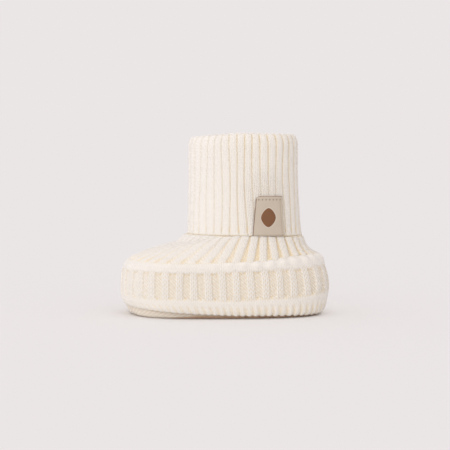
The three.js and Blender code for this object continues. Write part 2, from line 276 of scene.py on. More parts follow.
# shares of the turned edge (In) and of the band's height (Up)
bandRows = dict(
    toeIn=[0.9, 0.36, 0.22, 0.09, 0.0, 0.04, 0.16, 0.3, 0.52, 0.77],
    sideIn=[0.63, 0.33, 0.15, 0.05, 0.0, 0.0, 0.05, 0.09, 0.19, 0.33],
    heelIn=[1.17, 0.73, 0.36, 0.15, 0.02, 0.1, 0.36, 0.56, 0.8, 1.07],
    toeUp=[0.185, 0.18, 0.22, 0.285, 0.37, 0.6, 0.81, 0.89, 0.945, 0.996],
    midUp=[0.062, 0.05, 0.1, 0.22, 0.37, 0.6, 0.83, 0.925, 0.98, 1.0],
    heelUp=[0.038, 0.03, 0.11, 0.28, 0.475, 0.65, 0.86, 0.96, 1.03, 1.08],
)
# shares of the way from the band's top to the leg (Narrow) and from the band's height to the hem's (Up)
vampRows = dict(
    toeNarrow=[0.1, 0.24, 0.453, 0.687, 0.84, 0.92, 0.994],
    sideNarrow=[0.13, 0.32, 0.5, 0.63, 0.76, 0.86, 0.97],
    heelNarrow=[0.16, 0.333, 0.474, 0.588, 0.69, 0.79, 0.93],
    toeUp=[0.11, 0.29, 0.46, 0.61, 0.97, 1.03, 1.032],
    midUp=[0.2, 0.48, 0.83, 1.01, 1.018, 1.02, 1.022],
    heelUp=[0.26, 0.39, 0.57, 0.87, 0.965, 0.972, 0.974],
)


def cuffLevel(height, inset):
    # The cuff's outline at a height, inset from its outer face. It flares by the share of the way down to the
    # flare's power: whole at the heel, a half at each side and a quarter at the toe.
    height, inset = np.broadcast_arrays(np.asarray(height, float), np.asarray(inset, float))
    fade = np.clip(1 - (height - last["hemHeight"]) / last["flareHeight"], 0, 1)
    flare = last["hemFlare"] * fade ** last["flarePower"]
    one = np.ones_like(height)
    return {
        "front": last["anklePlace"] + last["cuffLength"] / 2 + flare / 4 - inset,
        "back": last["anklePlace"] - last["cuffLength"] / 2 - flare + inset,
        "side": last["cuffWidth"] / 2 + flare / 2 - inset,
        "widest": last["anklePlace"] - flare / 3,
        "toeRound": last["legRound"] * one,
        "heelRound": last["legRound"] * one,
        "toe": height,
        "middle": height,
        "heel": height - last["hemDroop"] * fade,
    }


def footLevel(toeIn, sideIn, heelIn, toe, middle, heel, toeRound):
    # Outlines of the foot, given by how far in and how high they lie at toe, side and heel.
    half = last["length"] / 2
    one = np.ones(len(toe))
    return {
        "front": half - toeIn,
        "back": heelIn - half,
        "side": last["ballWidth"] / 2 - sideIn,
        "widest": last["widestPlace"] * one,
        "toeRound": toeRound * one,
        "heelRound": last["heelRound"] * one,
        "toe": toe,
        "middle": middle,
        "heel": heel,
    }


def upperLevels():
    # Band levels from their table, vamp levels as mixes of the band's top and the ankle, two of the hidden leg.
    edge, high = last["turnedEdge"], last["bandHeight"]
    t = {key: np.array(value, float) for key, value in bandRows.items()}
    band = footLevel(t["toeIn"] * edge, t["sideIn"] * edge, t["heelIn"] * edge,
                     t["toeUp"] * high, t["midUp"] * high, t["heelUp"] * high, last["toeRound"])
    top = {key: value[-1] for key, value in band.items()}
    inset = last["cuffWall"] + last["room"] + last["labelRoom"]
    ankle = cuffLevel(last["hemHeight"], inset)
    n = {key: np.array(value, float) for key, value in vampRows.items()}
    shareOf = {"front": "toeNarrow", "back": "heelNarrow"}
    vamp = {key: mix(top[key], ankle[key], n[shareOf.get(key, "sideNarrow")])
            for key in ("front", "back", "side", "widest", "toeRound", "heelRound")}
    for key, rise in (("toe", "toeUp"), ("middle", "midUp"), ("heel", "heelUp")):
        vamp[key] = mix(high, last["hemHeight"], n[rise])
    leg = cuffLevel(last["hiddenLegAt"], inset)
    return {key: np.concatenate([band[key], vamp[key], leg[key]]) for key in band}


def walkLevels(levels, spacing):
    # Rows at an even spacing along the mean of the toe, side and heel profiles.
    profiles = [np.stack([levels[a], levels[b]], -1)
                for a, b in (("front", "toe"), ("side", "middle"), ("back", "heel"))]
    steps = np.mean([np.linalg.norm(np.diff(p, axis=0), axis=-1) for p in profiles], axis=0)
    knots = np.concatenate([[0], np.cumsum(steps)])
    at = np.linspace(0, knots[-1], int(knots[-1] / spacing) + 2)
    return knots, at, {key: fairCurve(knots, value, at) for key, value in levels.items()}


def ribPlace(share):
    # Place within a rib, 0 on its crown and half in the valley on either side, and the rib's number.
    turned = share * last["ribs"] - last["ribTurn"]
    return turned - np.round(turned), np.round(turned)


def waleOf(place, rib, crownShare, crownWales, valleyWales):
    # Stitch columns: so many across the crown's share of the rib, and the rest across the valley.
    half = crownShare / 2
    side = np.abs(place)
    inCrown = side / half * crownWales / 2
    inValley = crownWales / 2 + (side - half) / (0.5 - half) * valleyWales / 2
    local = np.where(side < half, inCrown, inValley) * np.sign(place)
    return rib * (crownWales + valleyWales) + local


# materials

yarn = dict(
    cream=(0.85, 0.818, 0.766),
    # painted shade, for the knit's hollows and valleys
    valley=(0.86, 0.68, 0.38),
    # painted shade, between the stitches
    gap=(0.7, 0.585, 0.42),
    soleCream=(0.985, 0.9, 0.785),
    # painted shade, for the sole's seams, underside and edge near the floor
    soleShade=(0.78, 0.52, 0.34),
    # painted shade, between the sole's stitches
    soleGapShade=(0.6, 0.45, 0.31),
    darkest=0.975,  # the cream drifts from this much of itself
    lightest=1.02,  # to this much
    driftScale=60.0,
    stitchDepth=0.00028,
    raisedAtEase=0.35,  # share of the stitches' depth
    raisedByStretch=1.3,
    fuzz=0.1,  # depth of the fibres beside the stitches'
    fibreScale=2600.0,
    roughness=0.92, specular=0.2, sheen=0.25, sheenRoughness=0.6,
    softness=0.4,  # share of the light that goes into the cotton
    softReach=0.0015,
)
stitchShape = dict(
    wanderScale=0.43,
    wander=0.26,  # of a stitch
    legRound=0.5,
    strandShare=0.55,  # of a leg's height that its strands make
    edgeNarrow=0.45, gapNarrow=1.1, purlSlant=1.3,
    purlShift=0.37,  # of a stitch, from one row of bumps to the next
    purlRound=0.7, bumpShare=0.45,
    bumpHides=0.75,  # of the gap between two rows of bumps
    purlGapNarrow=1.3,
)
labelLook = dict(
    hide=(0.575, 0.495, 0.4),
    hideDark=(0.51, 0.44, 0.35),
    halo=(0.72, 0.64, 0.54),
    edge=(0.22, 0.13, 0.09),
    # painted shade, in the needle holes
    hole=(0.2, 0.14, 0.1),
    cloudScale=220.0, grainScale=2400.0, grainDepth=0.00004,
    grainStrength=0.6, roughness=0.58, specular=0.35,
)
markLook = dict(
    halfWide=3.7, halfTall=4.6,
    down=10.3,  # of its middle, from the label's top edge
    across=0.47,  # share of the label's width
    round=1.6, rise=0.14,
    sink=0.25,  # how far its rim goes into the leather
    brown=(0.2, 0.09, 0.04),
    cloudScale=325.0, grainScale=2600.0, grainDepth=0.00003,
    grainStrength=0.7, roughness=0.5, specular=0.3,
)


def addNode(tree, kind, inputs=None, **settings):
    # One node, its settings, and its inputs as numbers or links.
    node = tree.nodes.new(kind)
    for key, value in settings.items():
        setattr(node, key, value)
    for key, value in (inputs or {}).items():
        if isinstance(value, bpy.types.NodeSocket):
            tree.links.new(value, node.inputs[key])
        else:
            node.inputs[key].default_value = value
    return node


def doMath(tree, operation, *values, clamp=False):
    # One sum on numbers or links.
    node = addNode(tree, "ShaderNodeMath", dict(enumerate(values)), operation=operation, use_clamp=clamp)
    return node.outputs[0]


def mixColour(tree, factor, a, b):
    # Colour a where the factor is 0 and colour b where it is 1.
    wide = [value if isinstance(value, bpy.types.NodeSocket) else (*value, 1) for value in (a, b)]
    node = addNode(tree, "ShaderNodeMix", {"Factor": factor, "A": wide[0], "B": wide[1]}, data_type="RGBA")
    return node.outputs["Result"]


def tinted(colour, factor):
    # The colour times a factor, kept at 1 or less.
    return tuple(min(1, channel * factor) for channel in colour)


def readMark(tree, name):
    # A mark that the mesh carries at each vertex.
    return addNode(tree, "ShaderNodeAttribute", attribute_name=name).outputs["Fac"]


def objectPlace(tree):
    # The place on the object, in metres.
    return addNode(tree, "ShaderNodeTexCoord").outputs["Object"]


def addNoise(tree, place, scale, detail):
    # Noise at a place, of a scale and detail.
    return addNode(tree, "ShaderNodeTexNoise", {"Vector": place, "Scale": scale, "Detail": detail})


def newMaterial(name, roughness, specular, more=None):
    # A material whose constants stand on the shader's own sockets.
    material = bpy.data.materials.new(name)
    material.use_nodes = True
    shader = material.node_tree.nodes["Principled BSDF"]
    for key, value in {"Roughness": roughness, "Specular IOR Level": specular, **(more or {})}.items():
        shader.inputs[key].default_value = value
    return material


def finishShader(tree, colour, height, distance, strength=1.0):
    # The colour feeds the base colour, and the height a bump of the normal.
    shader = tree.nodes["Principled BSDF"]
    tree.links.new(colour, shader.inputs["Base Color"])
    bump = addNode(tree, "ShaderNodeBump", {"Height": height, "Distance": distance, "Strength": strength})
    tree.links.new(bump.outputs["Normal"], shader.inputs["Normal"])


def newGroup(name, inputs, outputs):
    # An empty node group with named inputs and outputs.
    group = bpy.data.node_groups.new(name, "ShaderNodeTree")
    for label, kind in inputs:
        group.interface.new_socket(label, in_out="INPUT", socket_type=kind)
    for label, kind in outputs:
        group.interface.new_socket(label, in_out="OUTPUT", socket_type=kind)
    return group, group.nodes.new("NodeGroupInput"), group.nodes.new("NodeGroupOutput")


def makeStitchGroup():
    # Knit side: each stitch is a V of two legs. Height = sine across a leg * cosine along its slanting strands,
    # and painted shade gathers in the gap that opens at every leg's edge, half a stitch higher on each next
    # edge.
    # Purl side: slanting rows of short bumps, with painted shade in the gap between the rows where no bump
    # hides it.
    shape = stitchShape
    group, given, out = newGroup(
        "knitStitches",
        [("Stitch", "NodeSocketVector"), ("Purl", "NodeSocketFloat")],
        [("Height", "NodeSocketFloat"), ("GapShade", "NodeSocketFloat")],
    )
    sums = lambda kind, *values, **more: doMath(group, kind, *values, **more)
    plus = lambda a, b: sums("ADD", a, b)
    minus = lambda a, b, **more: sums("SUBTRACT", a, b, **more)
    times = lambda a, b: sums("MULTIPLY", a, b)
    power = lambda a, b: sums("POWER", a, b)
    halfWave = lambda value: plus(times(sums("COSINE", times(value, 2 * math.pi)), 0.5), 0.5)
    vector = lambda kind, inputs: addNode(group, "ShaderNodeVectorMath", inputs, operation=kind).outputs[0]
    # the stitches wander a little from their grid
    noise = addNoise(group, given.outputs["Stitch"], shape["wanderScale"], 2.0)
    pull = vector("SUBTRACT", {0: noise.outputs["Color"], 1: (0.5, 0.5, 0.5)})
    pulled = vector("SCALE", {0: pull, "Scale": shape["wander"]})
    place = vector("ADD", {0: given.outputs["Stitch"], 1: pulled})
    split = addNode(group, "ShaderNodeSeparateXYZ", {0: place})
    wale, course = split.outputs["X"], split.outputs["Y"]
    # knit side
    side = sums("ABSOLUTE", minus(times(sums("FRACT", wale), 2.0), 1.0))
    acrossLeg = sums("SINE", times(side, math.pi), clamp=True)
    strand = halfWave(minus(course, times(side, 0.5)))
    strands = plus(times(strand, shape["strandShare"]), 1 - shape["strandShare"])
    knit = times(power(acrossLeg, shape["legRound"]), strands)
    atEdge = power(minus(1.0, acrossLeg, clamp=True), shape["edgeNarrow"])
    knitGapShade = times(power(minus(1.0, strand, clamp=True), shape["gapNarrow"]), atEdge)
    # purl side
    slant = plus(times(course, shape["purlSlant"]), wale)
    rows = halfWave(slant)
    bump = halfWave(plus(wale, times(sums("FLOOR", slant), shape["purlShift"])))
    bumps = plus(times(bump, shape["bumpShare"]), 1 - shape["bumpShare"])
    purl = times(power(rows, shape["purlRound"]), bumps)
    between = minus(1.0, times(bump, shape["bumpHides"]))
    purlGapShade = times(power(minus(1.0, rows, clamp=True), shape["purlGapNarrow"]), between)
    for name, onKnit, onPurl in (("Height", knit, purl), ("GapShade", knitGapShade, purlGapShade)):
        inputs = {"Factor": given.outputs["Purl"], "A": onKnit, "B": onPurl}
        chosen = addNode(group, "ShaderNodeMix", inputs, data_type="FLOAT")
        group.links.new(chosen.outputs["Result"], out.inputs[name])


def makeFuzzGroup():
    # Cotton fibre: fine noise for the height and slow noise for the tone.
    group, given, out = newGroup(
        "cottonFuzz",
        [("Place", "NodeSocketVector")],
        [("Fibre", "NodeSocketFloat"), ("Tone", "NodeSocketFloat")],
    )
    for name, scale in (("Fibre", yarn["fibreScale"]), ("Tone", yarn["driftScale"])):
        noise = addNoise(group, given.outputs["Place"], scale, 3.0)
        group.links.new(noise.outputs["Fac"], out.inputs[name])


def makeKnit(name, cream, valley, gap):
    # Cream cotton with painted shade: the valley colour where the knit is hollow, and the gap colour between
    # its stitches. Where the knit is stretched open the painted shade in the gaps shows more and the stitches
    # stand higher.
    material = newMaterial(name, yarn["roughness"], yarn["specular"], {
        "Sheen Weight": yarn["sheen"],
        "Sheen Roughness": yarn["sheenRoughness"],
        "Subsurface Weight": yarn["softness"],
        "Subsurface Radius": (1.0, 1.0, 1.0),
        "Subsurface Scale": yarn["softReach"],
    })
    tree = material.node_tree
    stretch = readMark(tree, "stretch")
    stitch = addNode(tree, "ShaderNodeGroup", node_tree=bpy.data.node_groups["knitStitches"])
    tree.links.new(addNode(tree, "ShaderNodeUVMap", uv_map="knitMap").outputs["UV"], stitch.inputs["Stitch"])
    tree.links.new(readMark(tree, "purl"), stitch.inputs["Purl"])
    fuzz = addNode(tree, "ShaderNodeGroup", node_tree=bpy.data.node_groups["cottonFuzz"])
    tree.links.new(objectPlace(tree), fuzz.inputs["Place"])
    openGapShade = doMath(tree, "MULTIPLY", stitch.outputs["GapShade"], stretch, clamp=True)
    darkest, lightest = (tinted(cream, yarn[key]) for key in ("darkest", "lightest"))
    drift = mixColour(tree, fuzz.outputs["Tone"], darkest, lightest)
    withGapShade = mixColour(tree, openGapShade, drift, gap)
    colour = mixColour(tree, readMark(tree, "paintedShade"), withGapShade, valley)
    byStretch = doMath(tree, "MULTIPLY", stretch, yarn["raisedByStretch"])
    raised = doMath(tree, "ADD", byStretch, yarn["raisedAtEase"], clamp=True)
    stitches = doMath(tree, "MULTIPLY", stitch.outputs["Height"], raised)
    fibres = doMath(tree, "MULTIPLY", fuzz.outputs["Fibre"], yarn["fuzz"])
    finishShader(tree, colour, doMath(tree, "ADD", stitches, fibres), yarn["stitchDepth"])
    return material


def makeLeather():
    # Beige smooth leather with a pebbled grain: dark along its cut edges, with painted shade in its needle
    # holes, and pale where the mark is pressed in.
    look = labelLook
    material = newMaterial("labelLeather", look["roughness"], look["specular"])
    tree = material.node_tree
    place = objectPlace(tree)
    grain = addNode(tree, "ShaderNodeTexVoronoi", {"Vector": place, "Scale": look["grainScale"]}, feature="F1")
    cloud = addNoise(tree, place, look["cloudScale"], 4.0)
    hide = mixColour(tree, cloud.outputs["Fac"], look["hideDark"], look["hide"])
    for mark, colour in (("pale", "halo"), ("edge", "edge"), ("hole", "hole")):
        hide = mixColour(tree, readMark(tree, mark), hide, look[colour])
    finishShader(tree, hide, grain.outputs["Distance"], look["grainDepth"], look["grainStrength"])
    return material


def makeBrown():
    # The pressed mark's brown, a tenth darker to a tenth lighter in clouds, with a fine grain.
    look = markLook
    material = newMaterial("markBrown", look["roughness"], look["specular"])
    tree = material.node_tree
    place = objectPlace(tree)
    cloud = addNoise(tree, place, look["cloudScale"], 4.0)
    grain = addNoise(tree, place, look["grainScale"], 2.0)
    tone = mixColour(tree, cloud.outputs["Fac"], tinted(look["brown"], 0.9), tinted(look["brown"], 1.1))
    finishShader(tree, tone, grain.outputs["Fac"], look["grainDepth"], look["grainStrength"])
    return material


# the upper: padded band, vamp and ankle

upperLook = dict(
    columns=684,  # round the foot, eighteen for each rib
    rowSpacing=0.47, coursePitch=2.05, crownWales=2, valleyWales=2,
    ribShift=0.0053,  # further round than the last's ribs, as a share of the way round
    # the padded band
    windowDepth=0.6, windowShare=0.5, windowSlope=0.07,
    sillDown=0.8, sillWave=0.25, crownRise=0.15,
    seamDepth=0.25, eyeletDepth=0.5, dimpleDepth=0.2,
    seamStitches=4,  # for each rib
    # the puffed ridge
    ridgePuff=0.95, heelClimb=1.4, toeDip=1.1, scallop=1.3,
    # vamp and ankle
    ribShare=0.52, ribGain=0.26, toeRibGain=0.1, ribRise=0.3,
    valleyDepth=0.68, toeValleyDepth=0.32, creaseDepth=0.3, pitDepth=0.35,
    # the turned edge and the lining
    edgeRibDepth=0.55,
    edgeRibSlant=9,  # length up the surface for each rib that it goes round
    liningWave=0.15,
    liningRows=10,  # rows of the outside for each row of the lining
    # how far the ribs move towards the heel above the ridge and at the hem, as shares of the way round
    leanAt=[0, 0.1, 0.155, 0.18, 0.21, 0.235, 0.31, 0.365, 0.42, 0.445, 0.5],
    ridgeLean=[0, -0.009, -0.0117, -0.0076, -0.002, 0.0015, 0.0065, 0.004, 0, -0.005, 0],
    hemLean=[0, -0.003, -0.005, -0.0045, -0.0032, -0.003, -0.003, -0.003, -0.002, -0.003, 0],
    sideDrop=0.074,  # how much lower far parts look, for each mm
)
# how much painted shade, in the valley colour, each hollow place takes
upperShade = dict(
    window=0.19, windowSide=0.35, seam=0.4, eyelet=0.55, dimple=0.4,
    valley=0.54, toeValley=0.18, valleyAtHem=0.25, crease=0.12, pit=0.38,
    edgeRib=0.4, underHem=0.3, atSole=0.5, lining=0.15,
)


def straightenRibs(levels, shares, s, low, high):
    # Seen from the side, each rib's place is x = x0 + (x1 - x0) t, where t is the share of the way up from the
    # ridge to the hem, and the share of the outline that has this x is read back from each level.
    points = roundOutlines(levels, shares)
    rise = points[..., 2] - upperLook["sideDrop"] * np.abs(points[..., 1])
    first, final = np.searchsorted(s[:, 0], low), np.searchsorted(s[:, 0], high)
    t = np.clip((rise - rise[first]) / (rise[final] - rise[first]), 0, 1.15)
    wanted = mix(points[first, :, 0], points[final, :, 0], t)
    trial = np.linspace(0, 0.5, outlineSteps)
    rings = roundOutlines(levels, trial)[..., 0]
    found = np.stack([np.interp(-w, -ring, trial) for w, ring in zip(wanted, rings)])
    found = np.where(shares <= 0.5, found, 1 - found)
    half = np.minimum(shares, 1 - shares)
    seen = smooth(half - 0.1, 0.1) * smooth(0.46 - half, 0.06) * (s > low)
    return mix(shares, found, seen)


def leanRibs(levels, share, s, sHead, sTop, sEdge):
    # Shares of the way round that carry the ribs: straight up the band, then moved by the ridge's lean, further
    # up by a mix of the ridge's and the hem's, and straightened as the side view shows them.
    look = upperLook
    half = np.minimum(share, 1 - share)
    way = np.where(share <= 0.5, 1, -1)
    ridgeLean, hemLean = (
        (way * fairCurve(np.array(look["leanAt"]), np.array(look[key]), half))[None, :]
        for key in ("ridgeLean", "hemLean")
    )
    overRidge = smooth((s - sHead) / (sTop - sHead))
    leaning = np.clip((s - sTop) / (sEdge - sTop), 0, 1)
    leaned = share[None, :] + ridgeLean * overRidge + (hemLean - ridgeLean) * leaning
    return straightenRibs(levels, leaned, s, sTop, sEdge)


def makeUpper():
    # Base levels are pushed along their normals: plus crowns, puffs and rounded ribs, minus windows, seam,
    # eyelets, valleys, crease, pits and edge ribs. s is the length up the surface.
    look, shadeShare = upperLook, upperShade
    knots, at, levels = walkLevels(upperLevels(), look["rowSpacing"])
    share = np.arange(look["columns"]) / look["columns"]
    s = at[:, None]
    sRoll, sSill, sHead, sRidge, sCrest, sTop, sEdge, sCovered, sHem = knots[[3, 4, 6, 7, 8, 9, 13, 14, 15]]
    wobble = 0.03 * wave(share * 5 + s / 60) + 0.02 * wave(share * 11 - s / 45)
    leaned = leanRibs(levels, share, s, sHead, sTop, sEdge)
    base = roundOutlines(levels, leaned + wobble / last["ribs"])
    normal = normalsOf(base)
    place, rib = ribPlace(share[None, :] - look["ribShift"] + 0 * s)
    side = np.abs(place)
    onCrown = crest(place)
    # masks round the foot, by the share of the way from the toe to the heel, and up it
    half = np.minimum(share, 1 - share)[None, :]
    nearToe = hump(half / 0.1)
    nearHeel = hump(half - 0.5, 0.12)
    toeHalf = smooth(0.33 - half, 0.14)
    toeEnd = smooth(0.15 - half, 0.08)
    climb = np.clip((s - sTop) / (sHem - sTop), 0, 1)
    sCover = mix(sEdge, sCovered, smooth(0.24 - half, 0.1))
    # windows between the band's ribs
    windowEdge = 0.5 - look["windowShare"] / 2
    inWindow = smooth((side - windowEdge + 0.03) / look["windowSlope"])
    sill = sSill - look["sillDown"] + look["sillWave"] * wave(share * 7)[None, :]
    climbing = look["heelClimb"] * smooth(half - 0.33, 0.06) * smooth(0.49 - half, 0.05)
    ridgeRise = climbing - look["toeDip"] * hump(half - 0.2, 0.09)
    head = sHead + 0.7 + 0.5 * nearHeel + 0.35 * onCrown + 0.8 * np.minimum(ridgeRise, 0)
    upWindow = smooth(s - sill, 0.6) * smooth(head - s, 1.1)
    window = inWindow * upWindow
    crown = np.clip(1 - (side / windowEdge) ** 2, 0, 1) * smooth(s - sSill, 2) * smooth(sHead - s, 2)
    relief = look["crownRise"] * crown - look["windowDepth"] * window
    # padded ridge, fuller over each window
    puff = hump((s - (sRidge + 0.9 + ridgeRise)) / 2.5) * (0.6 - 0.4 * onCrown)
    relief += look["ridgePuff"] * puff * (1 - 0.75 * toeHalf)
    # stitches drawn in along the sill, an eyelet at each window's foot and dimples at its head
    stitchDots = 0.5 + 0.5 * crest(place * look["seamStitches"])
    seam = hump(s - sill + 0.2, 0.42) * (1 - 0.6 * toeHalf)
    eyelet = hump(s - sill - 0.35, 0.55) * hump(place - 0.43, 0.07)
    dimple = hump(s - head + 0.9, 0.55) * hump(side - 0.36, 0.08)
    relief -= look["seamDepth"] * seam * (0.3 + 0.7 * stitchDots)
    relief -= look["eyeletDepth"] * eyelet
    relief -= look["dimpleDepth"] * dimple
    # vamp and ankle: valleys open wide at the ridge and close towards the hem
    ribShare = look["ribShare"] + look["ribGain"] * smooth(climb * 1.15) + look["toeRibGain"] * nearToe
    creaseWave = look["scallop"] * (0.5 - 0.5 * onCrown) * (1 - 0.8 * toeHalf)
    onVamp = smooth(s - sCrest - 0.7 - creaseWave - ridgeRise, 1.2)
    valley = smooth((side - ribShare / 2) / (0.09 + 0.05 * climb))
    closing = smooth(s - sCrest - 1, 5)
    underCuff = smooth(sCover + 0.3 - s, 1.2)
    depth = mix(look["valleyDepth"], look["toeValleyDepth"] * (1 - 0.5 * closing), toeHalf)
    depth = depth * (1 - 0.15 * climb) * underCuff
    roundRib = np.clip(1 - (2 * side / ribShare) ** 2, 0, 1) * underCuff * (1 - 0.5 * toeHalf * closing)
    relief += onVamp * (look["ribRise"] * roundRib * (1 - 0.4 * toeHalf) - depth * valley)
    crease = hump(s - sTop + 0.6 - creaseWave - ridgeRise, 0.75)
    relief -= look["creaseDepth"] * crease * (1 - 0.5 * nearToe)
    # on the toe half each valley starts as a pit, drawn out along the rib
    pit = hump(s - sTop - 1.4 - ridgeRise, 1.7) * hump(place - 0.34, 0.13) * toeHalf
    relief -= look["pitDepth"] * pit
    # slanting ribs under the turned edge, two to each rib of the band
    slanted = 2 * (share[None, :] * last["ribs"] - last["ribTurn"]) + (s - sRoll) / look["edgeRibSlant"]
    onEdge = smooth(sRoll + 1.2 - s, 3.4) * (1 - 0.75 * hump(half / 0.19))
    edgeRibs = onEdge * (0.5 - 0.5 * crest(slanted)) ** 1.5
    relief -= look["edgeRibDepth"] * edgeRibs
    outside = base + normal * relief[..., None]
    # painted shade in the valley colour, where the knit is hollow: in the windows and along one side of each,
    # in the seam's stitches, eyelets, dimples, valleys, crease, pits and edge ribs, under the hem, at the sole
    # and on the lining
    # painted shadow along one side edge of each window
    windowSide = inWindow * (1 - inWindow) * 4 * upWindow * (place > 0)
    # painted shade under the cuff's hem
    underHem = smooth(s - sCover + 0.3, 0.6)
    # painted shade where the upper meets the sole, stronger at the seam's stitches
    atSole = smooth(1.3 - s, 0.9) * (1 + 0.8 * crest(share * soleLook["seamStitches"]))
    valleyShade = mix(shadeShare["valley"], shadeShare["toeValley"], toeHalf) + shadeShare["valleyAtHem"] * climb * (1 - toeHalf)
    paintedShade = (shadeShare["window"] * window * (1 - 0.7 * toeEnd) + shadeShare["windowSide"] * windowSide
              + shadeShare["seam"] * seam * stitchDots + shadeShare["eyelet"] * eyelet + shadeShare["dimple"] * dimple
              + valleyShade * onVamp * valley + shadeShare["crease"] * crease + shadeShare["pit"] * pit
              + shadeShare["edgeRib"] * edgeRibs + shadeShare["underHem"] * underHem + shadeShare["atSole"] * atSole)
    purl = np.clip(window + onVamp * valley + pit, 0, 1)
    # the knit is stretched between the sill and the head and on the heel half of the vamp
    onBand = smooth(s - sill + 1, 1.5) * smooth(head - s + 1, 1.5)
    stretch = 0.22 + (0.6 - 0.15 * toeHalf - 0.2 * toeEnd) * onBand
    stretch = stretch + 0.32 * onVamp * (1 - 0.8 * toeHalf) - 0.1 * window
    crownShare = mix(2 * windowEdge, ribShare, onVamp)
    wale = waleOf(place, rib, crownShare, look["crownWales"], look["valleyWales"])
    course = lengthUp(base) / look["coursePitch"]
    # the lining: some of the rows again, from the leg down, a wall's thickness further in
    back = np.append(np.arange(len(at) - 1, 4, -look["liningRows"]), 0)
    wall = last["upperWall"] + look["liningWave"] * crest(place[back])
    points = np.vstack([outside, base[back] - normal[back] * wall[..., None]])
    both = lambda grid: np.vstack([grid, grid[back]])
    inner = np.ones((len(back), look["columns"]))
    marks = {
        # the lining takes a little painted shade
        "paintedShade": np.vstack([np.clip(paintedShade, 0, 1), shadeShare["lining"] * inner]),
        "purl": np.vstack([purl, inner]),
        "stretch": np.vstack([stretch, 0.5 * inner]),
    }
    waleTotal = (look["crownWales"] + look["valleyWales"]) * last["ribs"]
    piece = ringPiece("knitUpper", points, both(wale), both(course), marks, waleTotal)
    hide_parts("upper")
    return piece


# the cuff: skirt, fold and the leg inside it, one strip of ribbing

cuffLook = dict(
    columns=608,  # sixteen for each rib
    skirtRows=74, foldRows=32, legRows=26, coursePitch=1.35,
    crownWales=2, valleyWales=1, crownShare=0.84,
    archSide=2.3,  # the arch is (1 - |2p|^side)^top
    archTop=0.7, ribDepth=0.38,
    hemDepth=0.35,  # more, just above the hem
    foldDepth=0.45, legDepth=0.7, hemRoll=0.4, hemEdge=0.1, hemDrop=0.15,
    groove=0.06, lumps=0.05,
    wander=0.1,  # of a rib
    labelPull=0.16,
    pullWidth=0.055,  # of the way round
    labelLift=1.1,
)
labelPlan = dict(
    heelEdge=19.8,  # from the middle of the cuff
    hemWidth=16, topWidth=13.6, height=19.3,
    underHem=3.6,  # length that goes round the hem
    tuck=5, thickness=0.6, room=0.25, cornerRadius=1.9,
    columns=110, rows=190,
    # what is pressed into the face: width of the rim, and depths
    rim=0.55, rimDepth=0.22, holeDepth=0.3, ringDepth=0.1,
    topHoles=7, topHoleDown=1.7, topHoleSize=0.3,
    sideHoles=19, sideHolePitch=0.93, sideHoleIn=1.25, sideHoleSize=0.26,
    sideHoleShare=0.5,  # how deep and dark beside the top's
)


def cuffProfile():
    # Height and inset along the strip: hem, skirt, fold as half an ellipse, leg, and back between the walls.
    look = cuffLook
    wall, hem, top = last["cuffWall"], last["hemHeight"], last["legTop"]
    through = wall + last["room"] + last["upperWall"]
    edge = hem + look["hemEdge"]
    hemTurn = np.linspace(-np.pi / 2, 0, 5)[:-1]
    hemPart = np.stack([edge + look["hemDrop"] * np.sin(hemTurn), wall / 2 * (1 - np.cos(hemTurn))], -1)
    skirt = np.stack([np.linspace(edge, top, look["skirtRows"]), np.zeros(look["skirtRows"])], -1)[:-1]
    turn = np.linspace(0, np.pi, look["foldRows"])
    fold = np.stack([mix(top, last["collarHeight"], np.sin(turn) ** 0.9), through / 2 * (1 - np.cos(turn))], -1)
    inside = np.stack([np.linspace(top, hem + 2, look["legRows"]), np.full(look["legRows"], through)], -1)[1:]
    inset = wall + last["room"] + last["labelRoom"]
    hidden = np.array([
        [hem + 2, inset + 0.4], [hem + 3, inset], [hem + 8, inset], [top - 16, wall + last["room"] + 0.2],
        [top - 1, wall + last["room"]], [top, wall + last["room"] / 2], [top - 1, wall], [hem + 12, wall],
        [hem + 2, wall], [hem + 0.5, wall * 0.86],
    ])
    return np.vstack([hemPart, skirt, fold, inside, hidden])


